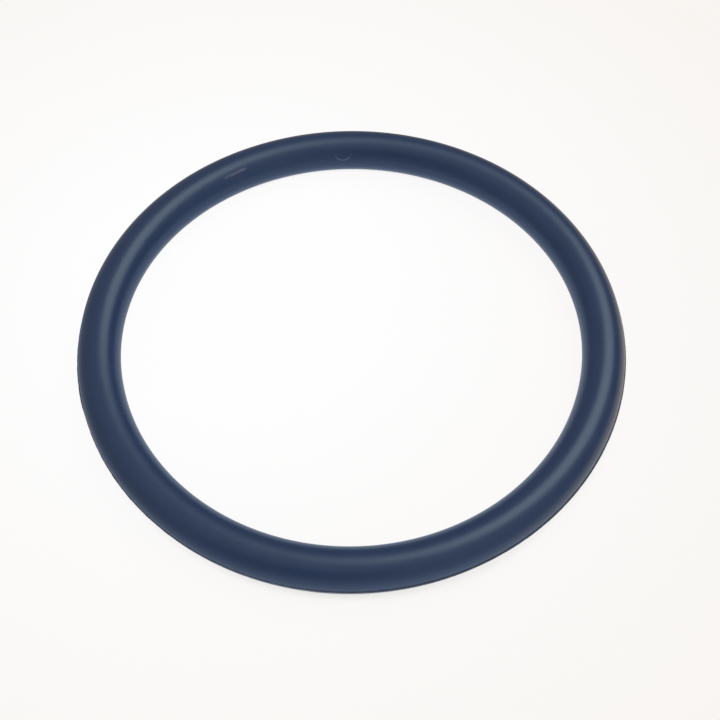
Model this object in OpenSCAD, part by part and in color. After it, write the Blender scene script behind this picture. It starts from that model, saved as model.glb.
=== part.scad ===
// Moulded rubber o-ring, lying flat on the plane z = 0 with its axis on Z.
// The round section is pressed between two mould halves that meet in the ring's
// mid-plane, so a low trimmed flash line runs round the outside and the inside.

/* [Ring] */
// Inside diameter of the ring, over the smooth round surface
inner_d = 58; // [20:0.1:120]
// Diameter of the round section
section_d = 5.3; // [4:0.1:8]

/* [Flash line] */
// How far the trimmed flash stands out from the round section
flash_h = 0.14; // [0.04:0.01:0.2]
// Width of the flat that trimming leaves on the flash
flash_land_w = 0.12; // [0.06:0.01:0.3]
// Slope of the flash's flanks, measured from the parting plane
flash_flank_angle = 30; // [20:1:60]

/* [Hidden] */

section_r = section_d / 2;
centre_r = inner_d / 2 + section_r;
parting_z = section_r;

// The flash's root is carried inside the round section, so that its flanks end on the circle
flash_root_depth = section_r / 10;
flash_root_w = flash_land_w + 2 * (flash_h + flash_root_depth) * tan(flash_flank_angle);

section_facets = 96;
ring_facets = 256;

// Web on the parting plane: it crosses the section from side to side and ends at either
// end as a ridge outside the circle, with sloping flanks and a flat crest
module parting_web() {
    ridge_x = section_r + flash_h;
    root_x = section_r - flash_root_depth;
    polygon([
        [-ridge_x, -flash_land_w / 2],
        [-root_x, -flash_root_w / 2],
        [root_x, -flash_root_w / 2],
        [ridge_x, -flash_land_w / 2],
        [ridge_x, flash_land_w / 2],
        [root_x, flash_root_w / 2],
        [-root_x, flash_root_w / 2],
        [-ridge_x, flash_land_w / 2]
    ]);
}

// Section through the ring: the full circle with the flash on its outside and its inside
module ring_section() {
    circle(r = section_r, $fn = section_facets);
    parting_web();
}

module o_ring() {
    color([0.19, 0.25, 0.35])
        translate([0, 0, parting_z])
            rotate_extrude($fn = ring_facets)
                translate([centre_r, 0])
                    ring_section();
}

o_ring();
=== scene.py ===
# One moulded rubber o-ring, dark navy, lying flat on a white sheet under soft light.
import math

import bpy
import numpy as np
from mathutils import Matrix, Vector


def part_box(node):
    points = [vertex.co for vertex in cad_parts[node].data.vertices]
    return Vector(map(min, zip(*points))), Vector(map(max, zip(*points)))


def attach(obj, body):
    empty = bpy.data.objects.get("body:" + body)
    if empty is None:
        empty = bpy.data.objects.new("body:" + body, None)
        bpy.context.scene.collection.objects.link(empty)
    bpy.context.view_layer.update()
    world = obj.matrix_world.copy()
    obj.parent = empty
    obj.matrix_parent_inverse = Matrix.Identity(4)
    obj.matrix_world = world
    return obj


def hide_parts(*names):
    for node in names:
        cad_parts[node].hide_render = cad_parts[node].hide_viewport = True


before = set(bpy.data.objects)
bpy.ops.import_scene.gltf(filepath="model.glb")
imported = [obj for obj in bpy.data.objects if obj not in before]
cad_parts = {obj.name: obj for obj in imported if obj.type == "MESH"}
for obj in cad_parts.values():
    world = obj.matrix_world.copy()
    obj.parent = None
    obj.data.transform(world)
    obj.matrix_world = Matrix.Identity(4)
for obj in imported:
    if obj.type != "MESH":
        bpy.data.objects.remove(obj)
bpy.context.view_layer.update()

mm = 0.001
scene = bpy.context.scene
ringLow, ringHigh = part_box("o_ring")
print("stage: frame loaded, ring box in mm", [round((ringHigh[k] - ringLow[k]) / mm, 2) for k in range(3)])


# 1. The ring

ringShape = {
    "flashHeight": 0.14,  # mm, as on the solid
    "flashLand": 0.07,  # mm, flat width of the trimmed crest
    "flashBase": 0.20,  # mm, width of the ridge where it meets the round section
    "flashLeast": 0.15,  # share of the height that is left everywhere
    "flashTremble": [  # share of the height, waves round the ring, phase in radians
        (0.06, 67, 1.3),
        (0.05, 131, 0.4),
        (0.04, 223, 2.2),
    ],
    "innerShare": 0.12,  # the flash inside the ring is this much of the outer one
    "threeLobe": (0.0006, 0.0030),  # share of the radius: the relaxed ring is very slightly three-cornered
    "swell": 0.004,  # mm, slow unevenness of the moulded surface
    "swellWaves": [  # waves round the ring, waves round the section, phase in radians
        (5, 1, 0.0),
        (9, -2, 1.1),
    ],
}

# Height of the flash round the ring: ring angle in degrees, share of the full height
flashPlan = [
    (0, 1.0), (40, 0.7), (90, 0.35), (140, 0.5), (178, 0.85), (196.8, 0.95), (198.2, 0.38),
    (215, 0.55), (240, 0.52), (258, 0.53), (272, 0.78), (285, 1.0), (345, 1.0),
]

# Places of the marks: "around" is along the ring's centre line from +X, "section" is round the section
# from the outer parting line over the top
crescent = {
    "around": 50.50,  # mm
    "section": 6.29,  # mm
    "radius": 1.28,  # mm
    "halfWidth": 0.15,  # mm
    "depth": 0.02,  # mm
    "grooveFade": 0.6,  # mm inwards from its centre, over which the groove deepens
    "paleFade": (0.1, 1.3),  # mm inwards from its centre, where the pale line begins and is full
}

scuff = {
    "around": (64.7, 68.9),  # mm, start and end
    "section": (5.88, 5.98),  # mm, at its start and at its end
    "halfWidth": 0.34,  # mm
    "depth": 0.008,  # mm
    "endFade": 0.8,  # mm
    "breaksPerMetre": 900.0,
    "breaks": (0.12, 0.50),  # values of the noise where the streak is bare and where it is full
}

# The grid is even, with finer runs laid over the flash and the marks
ringGrid = {
    "around": 600,  # even steps round the ring
    "section": 72,  # even steps round the section
    "clearance": 0.6,  # of an even step, kept free beside a finer run
    "crescentRun": (1.9, 0.06),  # mm: half its length, step
    "scuffRun": (0.3, 0.12),  # mm: reach past either end of the scuff, step
    "flashRun": (0.24, 0.03),  # mm: half its width, step
    "markRun": (5.7, 8.0, 0.065),  # mm round the section: start, end, step
}

flashHeight = ringShape["flashHeight"] * mm
sectionRadius = (ringHigh[2] - ringLow[2]) / 2
centreRadius = (ringHigh[0] - ringLow[0]) / 2 - flashHeight - sectionRadius
ringHeight = ringLow[2] + sectionRadius


# Angles for a grid: an even run, with finer runs (start, end, step) laid over it
def gridAngles(evenCount, fineRuns):
    angles = np.linspace(0, 2 * np.pi, evenCount, endpoint=False)
    gap = angles[1] * ringGrid["clearance"]
    for start, end, step in fineRuns:
        fromMiddle = np.abs((angles - (start + end) / 2 + np.pi) % (2 * np.pi) - np.pi)
        clear = fromMiddle > (end - start) / 2 + gap
        angles = np.concatenate([angles[clear], np.arange(start, end, step) % (2 * np.pi)])
    return np.sort(angles)


# 1 at zero distance, falling smoothly to 0 at the given width: 1 - 3t^2 + 2t^3 with t = distance / width
def softBand(distance, width):
    t = np.clip(np.abs(distance) / width, 0, 1)
    return 1 - t * t * (3 - 2 * t)


# Share of the full flash height at each ring angle: the plan's points joined by straight lines, plus a
# fine tremble that is a sum of sines, kept between the least share and 1
def flashShare(around):
    places = np.radians([place for place, share in flashPlan])
    shares = [share for place, share in flashPlan]
    level = np.interp(around, places, shares, period=2 * np.pi)
    tremble = [height * np.sin(around * waves + phase) for height, waves, phase in ringShape["flashTremble"]]
    return np.clip(level + sum(tremble), ringShape["flashLeast"], 1.0)


# Slow swell of the surface in metres: its height times the mean of a few sines, each of so many waves
# round the ring and so many round the section
def surfaceSwell(around, section):
    sines = [np.sin(around * ringWise + section * sectionWise + phase)
             for ringWise, sectionWise, phase in ringShape["swellWaves"]]
    return ringShape["swell"] * mm * sum(sines) / len(sines)


# How far each point stands off the plain torus, in metres, for arrays of ring angle and section angle:
# flash height times a ramp from its base to its land, less the grooves of the two marks, plus the swell
def standOff(around, section):
    land = ringShape["flashLand"] / 2 * mm
    base = ringShape["flashBase"] / 2 * mm
    fromOuter = np.abs((section + np.pi) % (2 * np.pi) - np.pi) * sectionRadius
    fromInner = np.abs(section - np.pi) * sectionRadius
    fromParting = np.minimum(fromOuter, fromInner)
    side = np.where(fromInner < fromOuter, ringShape["innerShare"], 1.0)
    ridge = side * flashHeight * flashShare(around) * np.clip((base - fromParting) / (base - land), 0, 1)

    alongMm = around * centreRadius / mm
    acrossMm = section * sectionRadius / mm
    inwards = acrossMm - crescent["section"]
    offCircle = np.hypot(alongMm - crescent["around"], inwards) - crescent["radius"]
    deepening = np.clip(inwards / crescent["grooveFade"], 0, 1)
    groove = crescent["depth"] * mm * softBand(offCircle, crescent["halfWidth"]) * deepening

    start, end = scuff["around"]
    middle = np.interp(alongMm, (start, end), scuff["section"])
    inside = (alongMm > start) & (alongMm < end)
    rub = scuff["depth"] * mm * softBand(acrossMm - middle, scuff["halfWidth"]) * inside
    return ridge - groove - rub + surfaceSwell(around, section)


# Ring angles and section angles of the grid, with the finer runs turned from mm into radians
def ringAngles():
    turnMm = centreRadius / mm
    sectionMm = sectionRadius / mm
    crescentHalf, crescentStep = ringGrid["crescentRun"]
    scuffMargin, scuffStep = ringGrid["scuffRun"]
    flashHalf, flashStep = ringGrid["flashRun"]
    markStart, markEnd, markStep = ringGrid["markRun"]
    crescentAt = crescent["around"]
    scuffStart, scuffEnd = scuff["around"]
    aroundRuns = [
        ((crescentAt - crescentHalf) / turnMm, (crescentAt + crescentHalf) / turnMm, crescentStep / turnMm),
        ((scuffStart - scuffMargin) / turnMm, (scuffEnd + scuffMargin) / turnMm, scuffStep / turnMm),
    ]
    flashHalf = flashHalf / sectionMm
    sectionRuns = [
        (-flashHalf, flashHalf, flashStep / sectionMm),
        (np.pi - flashHalf, np.pi + flashHalf, flashStep / sectionMm),
        (markStart / sectionMm, markEnd / sectionMm, markStep / sectionMm),
    ]
    return gridAngles(ringGrid["around"], aroundRuns), gridAngles(ringGrid["section"], sectionRuns)


# The ring as a closed grid: x, y = (R(u) + r(u, v) cos v) times (cos u, sin u) and z = h + r(u, v) sin v but
# never below the sheet, with u round the ring, v round the section, h the height of the parting plane, R(u)
# the three-lobed centre line and r(u, v) the section radius with its stand-off. Each corner also keeps its
# place in mm along the ring and mm round the section
def buildRing(name):
    around, section = ringAngles()
    u, v = np.meshgrid(around, section, indexing="ij")
    cosLobe, sinLobe = ringShape["threeLobe"]
    centreLine = centreRadius * (1 + cosLobe * np.cos(3 * u) + sinLobe * np.sin(3 * u))
    radius = sectionRadius + standOff(u, v)
    reach = centreLine + radius * np.cos(v)
    points = np.stack([reach * np.cos(u), reach * np.sin(u), ringHeight + radius * np.sin(v)], axis=-1)
    points[..., 2] = np.maximum(points[..., 2], ringLow[2])

    rows, columns = len(around), len(section)
    i, j = np.meshgrid(np.arange(rows), np.arange(columns), indexing="ij")
    i, j = i.ravel(), j.ravel()
    here, ahead = i * columns, (i + 1) % rows * columns
    nextJ = (j + 1) % columns
    faces = np.stack([here + j, ahead + j, ahead + nextJ, here + nextJ], axis=1)
    mesh = bpy.data.meshes.new(name)
    mesh.from_pydata(points.reshape(-1, 3).tolist(), [], faces.tolist())
    mesh.shade_smooth()

    along = np.append(around, around[0] + 2 * np.pi) * (centreRadius / mm)
    across = np.append(section, section[0] + 2 * np.pi) * (sectionRadius / mm)
    left, right = along[i], along[i + 1]
    low, high = across[j], across[j + 1]
    corners = np.stack([left, low, right, low, right, high, left, high], axis=1)
    unrolled = mesh.uv_layers.new(name="unrolled")
    unrolled.data.foreach_set("uv", corners.ravel().astype(np.float32))
    ring = bpy.data.objects.new(name, mesh)
    scene.collection.objects.link(ring)
    return ring


ring = buildRing("rubber_ring")
print("stage: ring built,", len(ring.data.polygons) * 2, "triangles")


# 2. Materials


# Feeds a node's input from a plain value or from another node's socket
def feed(tree, socket, value):
    if isinstance(value, bpy.types.NodeSocket):
        tree.links.new(value, socket)
    else:
        socket.default_value = value


# Adds a node, sets its properties and feeds its inputs
def addNode(tree, kind, inputs=None, **properties):
    node = tree.nodes.new(kind)
    for name, value in properties.items():
        setattr(node, name, value)
    for key, value in (inputs or {}).items():
        feed(tree, node.inputs[key], value)
    return node


# One number worked out from others
def calc(tree, operation, *values, clamp=False):
    inputs = dict(enumerate(values))
    return addNode(tree, "ShaderNodeMath", inputs, operation=operation, use_clamp=clamp).outputs[0]


# One number from vectors: a length or a dot product
def measure(tree, operation, *vectors):
    inputs = dict(enumerate(vectors))
    return addNode(tree, "ShaderNodeVectorMath", inputs, operation=operation).outputs["Value"]


# Goes smoothly from low to high while the value goes from start to end
def ramp(tree, value, start, end, low=0.0, high=1.0):
    inputs = {"Value": value, "From Min": start, "From Max": end, "To Min": low, "To Max": high}
    return addNode(tree, "ShaderNodeMapRange", inputs, interpolation_type="SMOOTHSTEP").outputs[0]


def mixNumber(tree, share, first, second):
    return addNode(tree, "ShaderNodeMix", {"Factor": share, "A": first, "B": second}).outputs[0]


# Inputs 6 and 7 and output 2 are the colour sockets of this node
def mixColour(tree, share, first, second):
    inputs = {"Factor": share, 6: first, 7: second}
    return addNode(tree, "ShaderNodeMix", inputs, data_type="RGBA").outputs[2]


# 1 for what the camera sees, straight or through something clear, and 0 for what lights or is mirrored
def cameraShare(tree):
    rays = addNode(tree, "ShaderNodeLightPath").outputs
    return calc(tree, "MAXIMUM", rays["Is Camera Ray"], rays["Is Transmission Ray"])


grainLook = {
    "fineDetail": 3.0,
    "fineRoughness": 0.6,
    "broadScale": 0.09,  # of the fine scale
    "broadDetail": 4.0,
    "broadRoughness": 0.55,
}


# Shared surface grain: a fine and a broad noise of the place, given as a height and as a mottle round zero
def buildGrainGroup():
    group = bpy.data.node_groups.new("surface grain", "ShaderNodeTree")
    group.interface.new_socket("Place", in_out="INPUT", socket_type="NodeSocketVector")
    group.interface.new_socket("Grains per metre", in_out="INPUT", socket_type="NodeSocketFloat")
    group.interface.new_socket("Height", in_out="OUTPUT", socket_type="NodeSocketFloat")
    group.interface.new_socket("Mottle", in_out="OUTPUT", socket_type="NodeSocketFloat")
    start = group.nodes.new("NodeGroupInput")
    end = group.nodes.new("NodeGroupOutput")
    noise = {"Vector": start.outputs["Place"], "Scale": start.outputs["Grains per metre"]}
    noise["Detail"] = grainLook["fineDetail"]
    noise["Roughness"] = grainLook["fineRoughness"]
    fine = addNode(group, "ShaderNodeTexNoise", noise).outputs[0]
    noise["Scale"] = calc(group, "MULTIPLY", noise["Scale"], grainLook["broadScale"])
    noise["Detail"] = grainLook["broadDetail"]
    noise["Roughness"] = grainLook["broadRoughness"]
    broad = addNode(group, "ShaderNodeTexNoise", noise).outputs[0]
    group.links.new(fine, end.inputs["Height"])
    group.links.new(calc(group, "SUBTRACT", broad, 0.5), end.inputs["Mottle"])
    return group


grainGroup = buildGrainGroup()

rubberLook = {
    "navy": (0.0148, 0.0293, 0.0790, 1.0),
    "paler": (0.0178, 0.0334, 0.0870, 1.0),
    "mottleContrast": 2.0,
    "crescentTint": (0.084, 0.114, 0.196, 1.0),
    "crescentShare": 0.9,  # how much of the tint the middle of the mark takes
    "scuffTint": (0.104, 0.104, 0.165, 1.0),
    "scuffShare": 0.8,
    "flashTint": (0.115, 0.095, 0.088, 1.0),
    "flashShare": 0.85,
    "flashBand": (0.10, 0.04),  # mm from the parting plane, where the flash's tint begins and is full
    "roughness": 0.34,
    "mottleRoughness": 0.08,
    "flashRoughness": 0.2,  # added on the flash
    "ior": 1.50,
    "specularTint": (0.675, 0.85, 0.915, 1.0),
    "grainsPerMetre": 4200.0,
    "grainDepth": 0.004,  # mm
}


# 1 on the crescent: close to its circle, and fading towards the tips of the arms
def maskCrescent(tree, along, across):
    sideways = calc(tree, "SUBTRACT", along, crescent["around"])
    inwards = calc(tree, "SUBTRACT", across, crescent["section"])
    squared = calc(tree, "ADD", calc(tree, "POWER", sideways, 2.0), calc(tree, "POWER", inwards, 2.0))
    offCircle = calc(tree, "SUBTRACT", calc(tree, "SQRT", squared), crescent["radius"])
    onLine = ramp(tree, calc(tree, "ABSOLUTE", offCircle), crescent["halfWidth"], 0.0)
    return calc(tree, "MULTIPLY", onLine, ramp(tree, inwards, *crescent["paleFade"]))


# 1 on the scuff: a thin streak along the ring, broken by a noise and fading at both ends
def maskScuff(tree, place, along, across):
    start, end = scuff["around"]
    middle = ramp(tree, along, start, end, *scuff["section"])
    offStreak = calc(tree, "ABSOLUTE", calc(tree, "SUBTRACT", across, middle))
    noise = {"Vector": place, "Scale": scuff["breaksPerMetre"], "Detail": 1.0}
    breaks = addNode(tree, "ShaderNodeTexNoise", noise).outputs[0]
    onStreak = ramp(tree, offStreak, scuff["halfWidth"], 0.0)
    streak = calc(tree, "MULTIPLY", onStreak, ramp(tree, breaks, *scuff["breaks"]))
    fadeIn = ramp(tree, along, start, start + scuff["endFade"])
    fadeOut = ramp(tree, along, end, end - scuff["endFade"])
    return calc(tree, "MULTIPLY", streak, calc(tree, "MULTIPLY", fadeIn, fadeOut))


# 1 on the flash: near the parting plane, on the outside of the ring only
def maskFlash(tree, place):
    height = addNode(tree, "ShaderNodeSeparateXYZ", {0: place}).outputs[2]
    fromPlane = calc(tree, "ABSOLUTE", calc(tree, "SUBTRACT", height, ringHeight))
    begins, full = rubberLook["flashBand"]
    onFlash = ramp(tree, fromPlane, begins * mm, full * mm)
    onOutside = calc(tree, "GREATER_THAN", measure(tree, "LENGTH", place), centreRadius)
    return calc(tree, "MULTIPLY", onFlash, onOutside)


# Rubber: navy with a faint mottle, paler on the crescent and the scuff, and greyish brown and rougher along
# the flash
def buildRubber(name):
    material = bpy.data.materials.new(name)
    material.use_nodes = True
    tree = material.node_tree
    shader = tree.nodes["Principled BSDF"]
    place = addNode(tree, "ShaderNodeTexCoord").outputs["Object"]
    grain = addNode(tree, "ShaderNodeGroup", node_tree=grainGroup)
    feed(tree, grain.inputs["Place"], place)
    feed(tree, grain.inputs["Grains per metre"], rubberLook["grainsPerMetre"])
    height, mottle = grain.outputs["Height"], grain.outputs["Mottle"]
    unrolled = addNode(tree, "ShaderNodeUVMap", uv_map="unrolled").outputs[0]
    along, across = addNode(tree, "ShaderNodeSeparateXYZ", {0: unrolled}).outputs[:2]
    onFlash = maskFlash(tree, place)

    pale = calc(tree, "MULTIPLY", mottle, rubberLook["mottleContrast"])
    pale = calc(tree, "ADD", pale, 0.5, clamp=True)
    colour = mixColour(tree, pale, rubberLook["navy"], rubberLook["paler"])
    masks = [
        ("crescent", maskCrescent(tree, along, across)),
        ("scuff", maskScuff(tree, place, along, across)),
        ("flash", onFlash),
    ]
    for mark, mask in masks:
        share = calc(tree, "MULTIPLY", mask, rubberLook[mark + "Share"])
        colour = mixColour(tree, share, colour, rubberLook[mark + "Tint"])
    feed(tree, shader.inputs["Base Color"], colour)

    roughness = calc(tree, "MULTIPLY_ADD", mottle, rubberLook["mottleRoughness"], rubberLook["roughness"])
    roughness = calc(tree, "MULTIPLY_ADD", onFlash, rubberLook["flashRoughness"], roughness)
    feed(tree, shader.inputs["Roughness"], roughness)
    shader.inputs["IOR"].default_value = rubberLook["ior"]
    shader.inputs["Specular Tint"].default_value = rubberLook["specularTint"]
    depth = rubberLook["grainDepth"] * mm
    bump = addNode(tree, "ShaderNodeBump", {"Strength": 1.0, "Distance": depth, "Height": height})
    feed(tree, shader.inputs["Normal"], bump.outputs[0])
    return material


ring.data.materials.append(buildRubber("navy rubber"))
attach(ring, "root")
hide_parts("o_ring")
print("stage: rubber applied")


# 3. The white sheet, the light and the camera

sheetLook = {
    "size": 3.0,  # m
    "drop": 0.01,  # mm below the ring
    "albedo": 0.88,
    "shownShare": 0.95,  # how much of it is an even white of its own, the rest being its lit surface
    # painted shade on the sheet: its white darkens where under 1 / overexposure of the sky is open
    "overexposure": (8.0, 2.35),  # in and outside the ring: it dims where under 1 / this of the sky is open
    "shadeReach": 30.0,  # mm
    "shadeSamples": 8,
    # painted pool of light: the sheet is whitest round one place and a little darker and warmer away from it
    "poolCentre": (-16.0, 10.0),  # mm
    "poolTones": [  # mm from there, colour that the camera sees
        (0.0, (1.0, 1.0, 1.0, 1.0)),
        (20.0, (1.0, 1.0, 1.0, 1.0)),
        (36.0, (0.986, 0.976, 0.973, 1.0)),
        (55.0, (0.968, 0.956, 0.938, 1.0)),
        (85.0, (0.949, 0.915, 0.886, 1.0)),
    ],
    "glowInside": 0.96,  # brightness of the light that it throws on the ring from inside
    "glowOutside": (0.20, -0.22, 0.76),  # from outside: rise per ring radius in x and in y, middle value
    "glowLimits": (0.45, 1.2),  # lowest and highest of that
    "glowFar": 0.42,  # from far off, all round
    "farRange": (45.0, 150.0),  # mm from the axis, where far off begins and is full
    "glowMatt": 1.5,  # the rubber's matt colour takes this much more of it than its shine does
    "tintCool": (0.86, 0.95, 1.10, 1.0),  # colour of that light
    "tintWarm": (1.0, 0.90, 0.72, 1.0),  # its colour outside the ring on the right behind
    "warmTowards": (0.7, 0.7, 0.0),  # direction from the axis in which it turns warm
}

# From the inside of the ring to its outside, as distances from the axis
ringSpan = (centreRadius - sectionRadius, centreRadius + sectionRadius)


# Colour that the camera sees: a painted pool of light, white round one place and a little darker and warmer
# away from it
def paintedLightPool(tree, place):
    centreX, centreY = sheetLook["poolCentre"]
    centre = (centreX * mm, centreY * mm, 0.0)
    shifted = addNode(tree, "ShaderNodeVectorMath", {0: place, 1: centre}, operation="SUBTRACT").outputs[0]
    farthest = sheetLook["poolTones"][-1][0]
    away = calc(tree, "DIVIDE", measure(tree, "LENGTH", shifted), farthest * mm)
    tone = addNode(tree, "ShaderNodeValToRGB", {0: away})
    stops = tone.color_ramp.elements
    for k, (distance, colour) in enumerate(sheetLook["poolTones"]):
        stop = stops[k] if k < 2 else stops.new(distance / farthest)
        stop.position = distance / farthest
        stop.color = colour
    return tone.outputs[0]


# Brightness of the light on the ring: even inside it, a slope outside it, and even again far off
def sheetGlow(tree, place, fromAxis):
    riseX, riseY, middle = sheetLook["glowOutside"]
    lowest, highest = sheetLook["glowLimits"]
    farBegins, farFull = sheetLook["farRange"]
    slope = (riseX / centreRadius, riseY / centreRadius, 0.0)
    outside = calc(tree, "ADD", measure(tree, "DOT_PRODUCT", place, slope), middle)
    outside = calc(tree, "MINIMUM", calc(tree, "MAXIMUM", outside, lowest), highest)
    glow = ramp(tree, fromAxis, *ringSpan, sheetLook["glowInside"], outside)
    farShare = ramp(tree, fromAxis, farBegins * mm, farFull * mm)
    glow = mixNumber(tree, farShare, glow, sheetLook["glowFar"])
    diffuse = addNode(tree, "ShaderNodeLightPath").outputs["Is Diffuse Ray"]
    return calc(tree, "MULTIPLY", glow, mixNumber(tree, diffuse, 1.0, sheetLook["glowMatt"]))


# Colour of the light on the ring: cool, turning warm outside the ring towards one side
def sheetTint(tree, place, fromAxis):
    diagonal = measure(tree, "DOT_PRODUCT", place, sheetLook["warmTowards"])
    warm = ramp(tree, diagonal, -centreRadius, centreRadius)
    warm = calc(tree, "MULTIPLY", warm, ramp(tree, fromAxis, *ringSpan))
    return mixColour(tree, warm, sheetLook["tintCool"], sheetLook["tintWarm"])


# Overexposed white: it shows its own colour, with a painted shade where the ring hides most of the sky
def buildWhite(name):
    material = bpy.data.materials.new(name)
    material.use_nodes = True
    tree = material.node_tree
    tree.nodes.clear()
    place = addNode(tree, "ShaderNodeTexCoord").outputs["Object"]
    fromAxis = measure(tree, "LENGTH", place)
    reach = {"Distance": sheetLook["shadeReach"] * mm}
    # painted shade: ambient occlusion darkens the sheet's own glowing white near the ring
    openness = addNode(tree, "ShaderNodeAmbientOcclusion", reach, samples=sheetLook["shadeSamples"])
    over = ramp(tree, fromAxis, *ringSpan, *sheetLook["overexposure"])
    shade = calc(tree, "MULTIPLY", openness.outputs["AO"], over, clamp=True)
    seen = cameraShare(tree)
    strength = mixNumber(tree, seen, sheetGlow(tree, place, fromAxis), 1.0)
    white = mixColour(tree, seen, sheetTint(tree, place, fromAxis), paintedLightPool(tree, place))
    white = mixColour(tree, shade, (0.0, 0.0, 0.0, 1.0), white)
    shown = addNode(tree, "ShaderNodeEmission", {"Color": white, "Strength": strength}).outputs[0]
    albedo = sheetLook["albedo"]
    paper = addNode(tree, "ShaderNodeBsdfDiffuse", {"Color": (albedo, albedo, albedo, 1.0)}).outputs[0]
    mixed = addNode(tree, "ShaderNodeMixShader", {0: sheetLook["shownShare"], 1: paper, 2: shown})
    addNode(tree, "ShaderNodeOutputMaterial", {"Surface": mixed.outputs[0]})
    return material


def buildSheet(name):
    half = sheetLook["size"] / 2
    low = ringLow[2] - sheetLook["drop"] * mm
    corners = [(-half, -half, low), (half, -half, low), (half, half, low), (-half, half, low)]
    mesh = bpy.data.meshes.new(name)
    mesh.from_pydata(corners, [], [(0, 1, 2, 3)])
    mesh.materials.append(buildWhite("white sheet"))
    sheet = bpy.data.objects.new(name, mesh)
    scene.collection.objects.link(sheet)


buildSheet("sheet")

# Brightness of the room round the ring: an even part and a few lobes. A lobe is its strength times
# max(0, width + (1 - width) * cosine) ^ power, with the cosine taken from the lobe's own direction
skyLight = {
    "even": 0.05,
    "lobes": [  # strength, direction, width, power
        (0.60, (0.0, 0.0, 1.0), 0.0, 2.0),  # overhead
        (0.74, (0.0, -1.0, 0.0), 0.5, 2.0),  # in front
        (0.28, (-0.77, 0.64, 0.0), 0.5, 3.0),  # behind on the left
        (-0.66, (-0.22, -0.75, 0.625), 0.0, 8.0),  # darker where the camera stands in the light's way
    ],
}


def lightRoom():
    world = bpy.data.worlds.new("soft room")
    world.use_nodes = True
    scene.world = world
    tree = world.node_tree
    sky = addNode(tree, "ShaderNodeTexCoord").outputs["Generated"]
    strength = skyLight["even"]
    for amount, direction, width, power in skyLight["lobes"]:
        cosine = measure(tree, "DOT_PRODUCT", sky, direction)
        lobe = calc(tree, "MAXIMUM", calc(tree, "MULTIPLY_ADD", cosine, 1.0 - width, width), 0.0)
        strength = calc(tree, "MULTIPLY_ADD", calc(tree, "POWER", lobe, power), amount, strength)
    background = tree.nodes["Background"]
    feed(tree, background.inputs["Color"], (1.0, 1.0, 1.0, 1.0))
    feed(tree, background.inputs["Strength"], mixNumber(tree, cameraShare(tree), strength, 1.0))


lightRoom()

mainLamp = {
    "turn": 44,  # degrees round from +X
    "height": 58,  # degrees above the sheet
    "distance": 0.9,  # m
    "width": 0.64,  # m
    "length": 0.84,  # m, along the slope towards the zenith
    "watts": 3.95,
}


def hangLamp():
    light = bpy.data.lights.new("main lamp", "AREA")
    light.shape = "ELLIPSE"
    light.size, light.size_y = mainLamp["width"], mainLamp["length"]
    light.energy = mainLamp["watts"]
    turn, height = math.radians(mainLamp["turn"]), math.radians(mainLamp["height"])
    level = math.cos(height)
    towards = Vector((math.cos(turn) * level, math.sin(turn) * level, math.sin(height)))
    holder = bpy.data.objects.new("main lamp", light)
    holder.location = towards * mainLamp["distance"]
    holder.rotation_mode = "QUATERNION"
    holder.rotation_quaternion = towards.to_track_quat("Z", "Y")
    scene.collection.objects.link(holder)


hangLamp()

cameraView = {
    "distance": 4.829,  # ring radii from the ring's centre
    "height": 55.725,  # degrees above the sheet
    "turn": -0.392,  # degrees, small aiming angles about the camera's own axes
    "tip": -1.155,
    "roll": 0.957,
    "focal": 1210.3,  # pixels, of a picture 720 pixels wide
    "pictureWidth": 720.0,
    "sensor": 36.0,  # mm
    "clip": (0.01, 20.0),  # m
}


def placeCamera():
    data = bpy.data.cameras.new("camera")
    data.sensor_width = cameraView["sensor"]
    data.lens = cameraView["focal"] / cameraView["pictureWidth"] * cameraView["sensor"]
    data.clip_start, data.clip_end = cameraView["clip"]
    camera = bpy.data.objects.new("camera", data)
    scene.collection.objects.link(camera)
    scene.camera = camera
    height = math.radians(cameraView["height"])
    turn, tip, roll = [math.radians(cameraView[angle]) for angle in ("turn", "tip", "roll")]
    away = cameraView["distance"] * centreRadius
    place = Matrix.Translation((0.0, -away * math.cos(height), away * math.sin(height) + ringHeight))
    aim = Matrix.Rotation(math.pi / 2 - height, 4, "X") @ Matrix.Rotation(turn, 4, "Y")
    aim = aim @ Matrix.Rotation(tip, 4, "X") @ Matrix.Rotation(-roll, 4, "Z")
    camera.matrix_world = place @ aim


placeCamera()
scene.view_settings.view_transform = "Standard"
print("stage: sheet, light and camera set")
